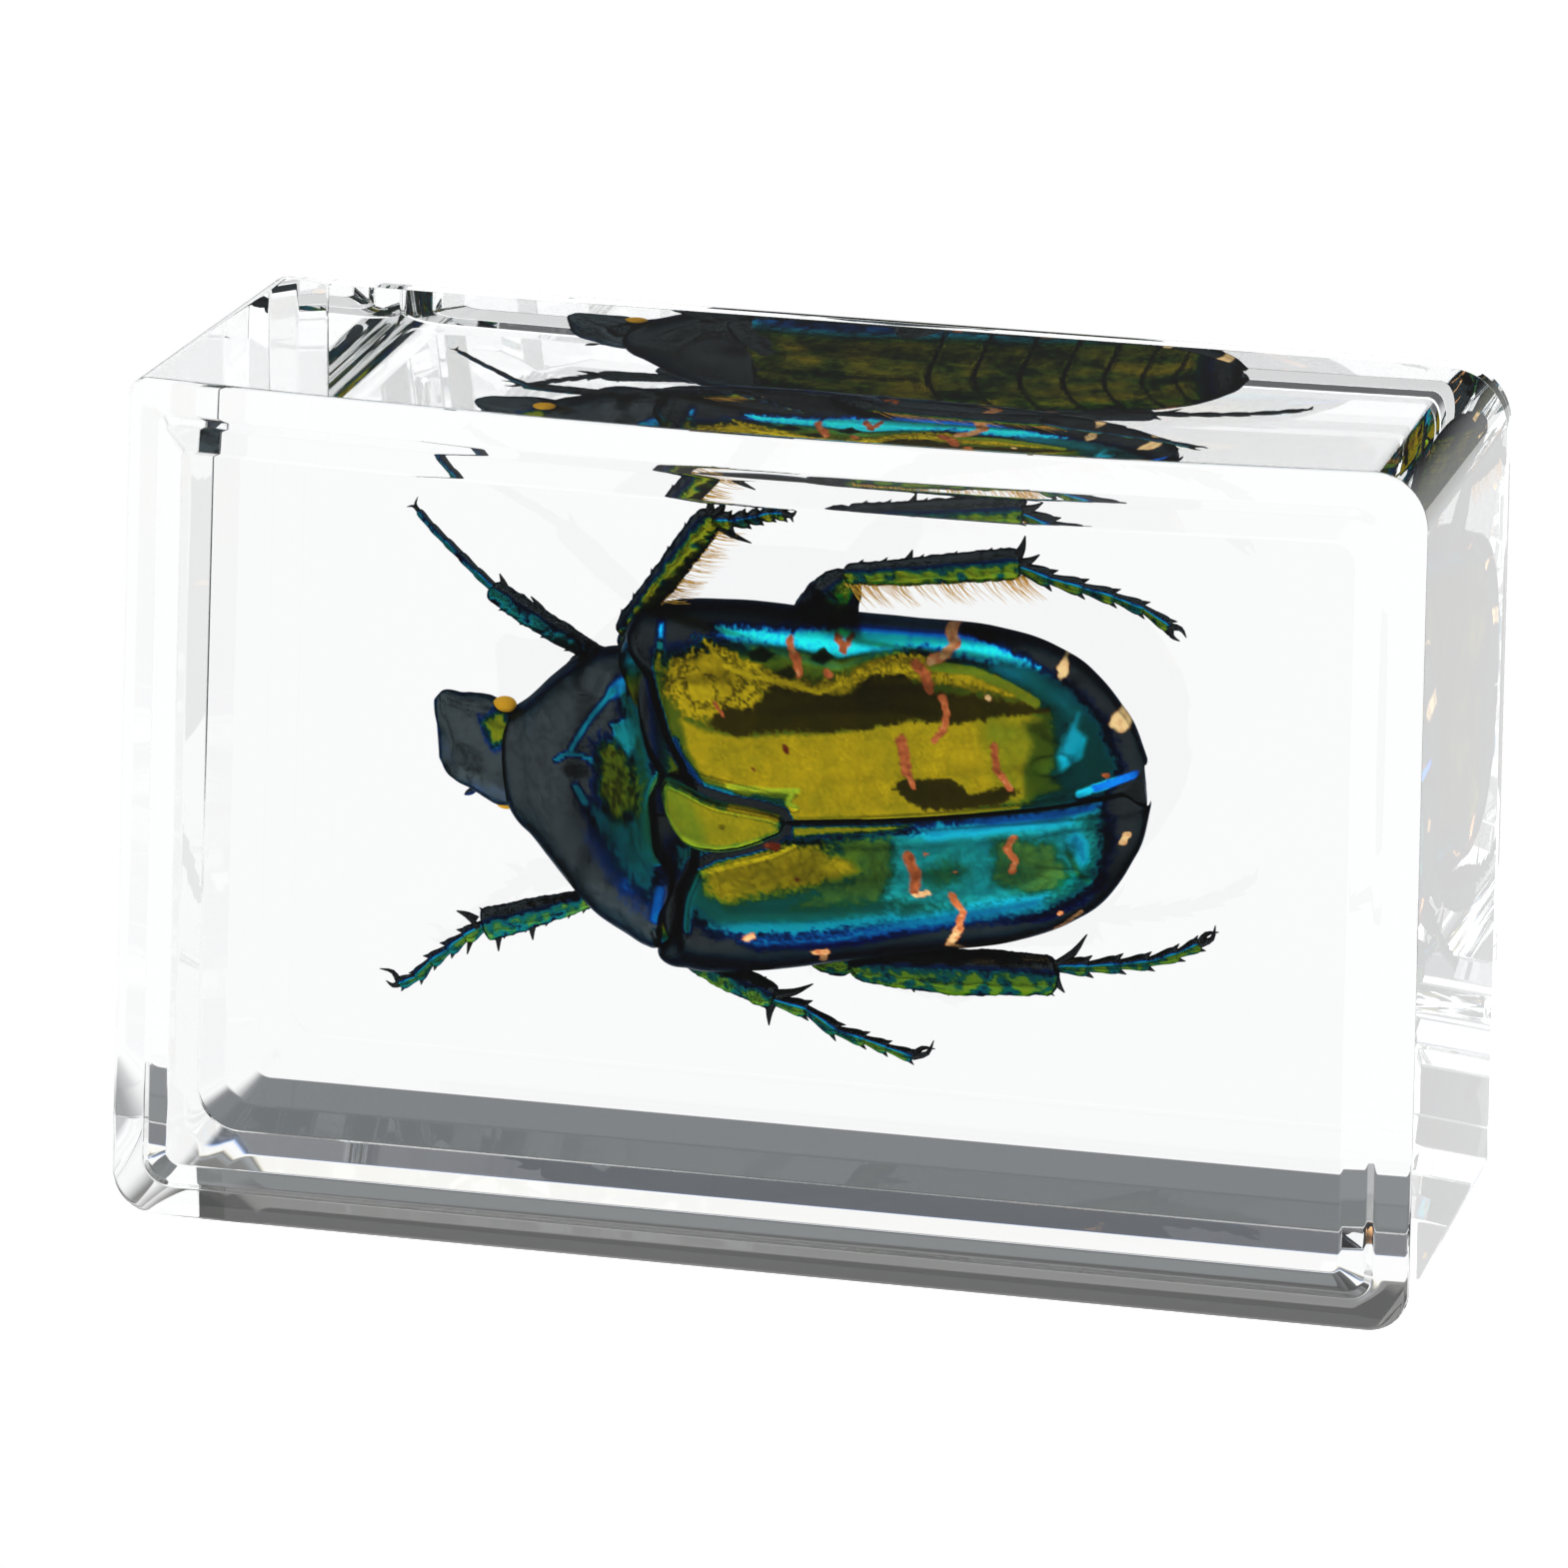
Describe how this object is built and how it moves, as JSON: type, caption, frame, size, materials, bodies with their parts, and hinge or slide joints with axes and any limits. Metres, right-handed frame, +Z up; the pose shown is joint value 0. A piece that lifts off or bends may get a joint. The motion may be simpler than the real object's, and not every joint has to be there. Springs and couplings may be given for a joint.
{
  "type": "insect in resin block",
  "caption": "Clear cast resin block with a bevelled front and back, standing on its long narrow side, with a metallic green flower chafer beetle sealed inside.",
  "frame": {"origin": "middle of the base, at the foot of the block's bounding box", "axes": "+X along the block's length, the beetle's head towards -X; +Y from the front face to the back face; +Z up"},
  "size_m": [0.0444, 0.0184, 0.029],
  "materials": {
    "resin": "clear cast polyester resin, polished",
    "beetle": "glossy metallic insect shell, olive gold through green and teal to blue-black"
  },
  "bodies": {
    "root": {"resin_front": "resin", "resin_back": "resin", "beetle": "beetle"}
  },
  "joints": []
}
